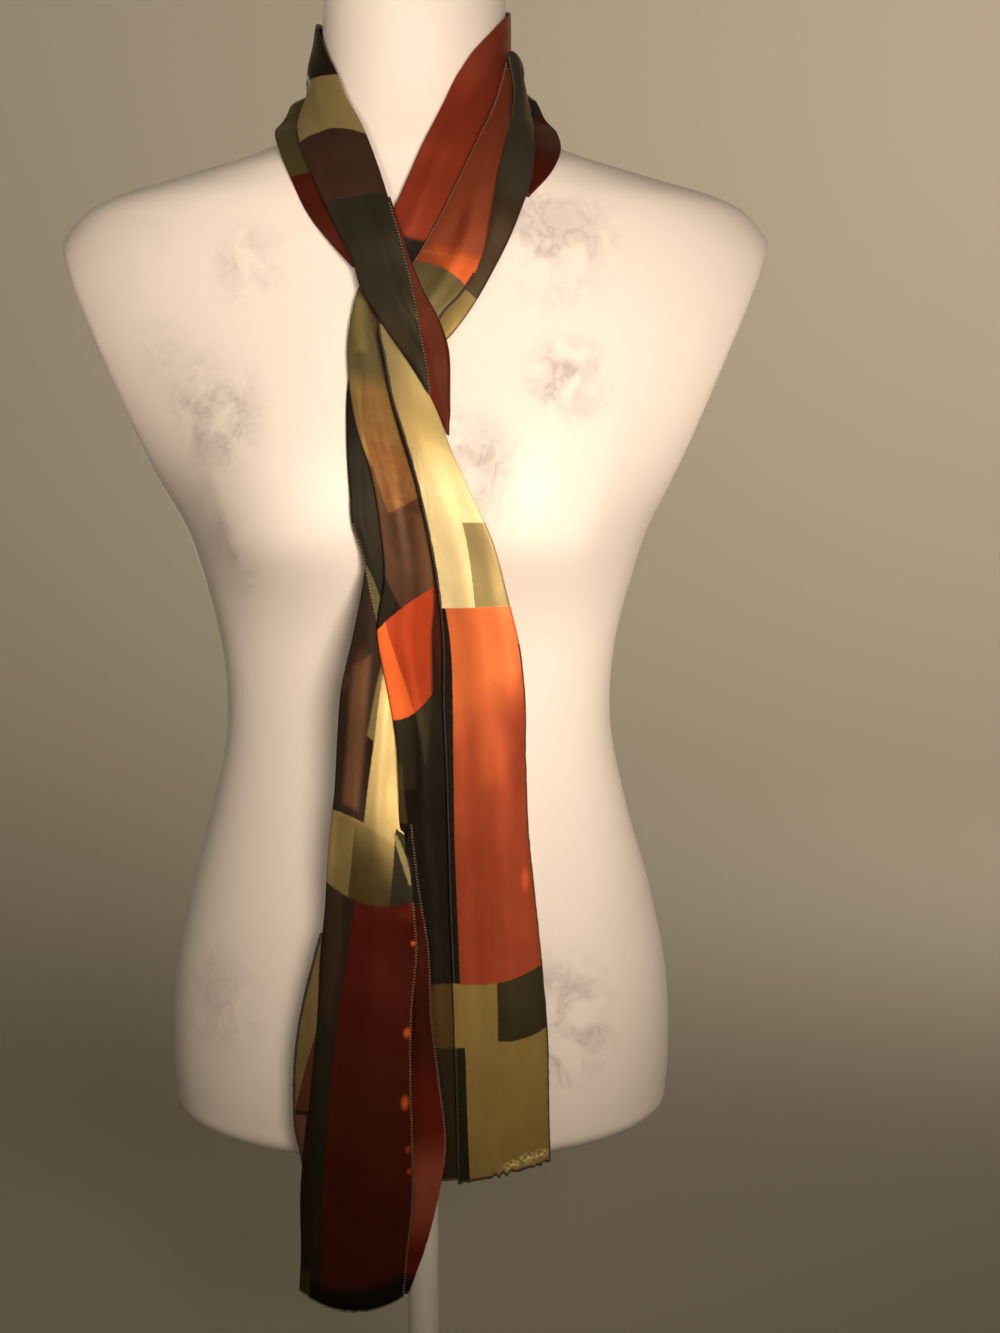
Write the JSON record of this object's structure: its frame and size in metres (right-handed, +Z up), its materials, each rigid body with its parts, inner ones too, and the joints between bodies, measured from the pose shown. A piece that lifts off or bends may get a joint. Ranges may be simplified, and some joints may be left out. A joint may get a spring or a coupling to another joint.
{
  "type": "chiffon scarf on a limbless dress form with a stand",
  "caption": "Long hemmed chiffon scarf wound round the neck and crossed at the chest, its tails hanging down the front of a limbless dress form on a pole and round base.",
  "frame": {"origin": "centre of the underside of the stand's round base, on the surface it stands on", "axes": "+Z up along the pole, -Y the way the form faces, +X to the viewer's right when the front is looked at"},
  "size_m": [0.4368, 0.3, 1.052],
  "materials": {
    "scarf_cloth": "satin chiffon printed in blocks of rust, orange, olive, yellow and dark green, with a rolled stitched hem",
    "form_shell": "cream shell with faint grey marbling",
    "stand_enamel": "satin white enamel",
    "socket_plastic": "plain off-white"
  },
  "bodies": {
    "root": {"form_torso": "form_shell", "stand_base": "stand_enamel", "stand_pole": "stand_enamel", "stand_socket": "socket_plastic", "scarf_left_front": "scarf_cloth", "scarf_left_outer": "scarf_cloth", "scarf_left_under": "scarf_cloth", "scarf_neck_under": "scarf_cloth", "scarf_neck_inner": "scarf_cloth", "scarf_neck_top": "scarf_cloth", "scarf_right_under": "scarf_cloth", "scarf_right_front": "scarf_cloth", "scarf_right_outer": "scarf_cloth", "scarf_right_back": "scarf_cloth", "scarf_wrap_behind": "scarf_cloth", "scarf_left_tail_front": "scarf_cloth", "scarf_left_tail_flap": "scarf_cloth", "scarf_left_tail_back": "scarf_cloth", "scarf_turn": "scarf_cloth"}
  },
  "joints": []
}
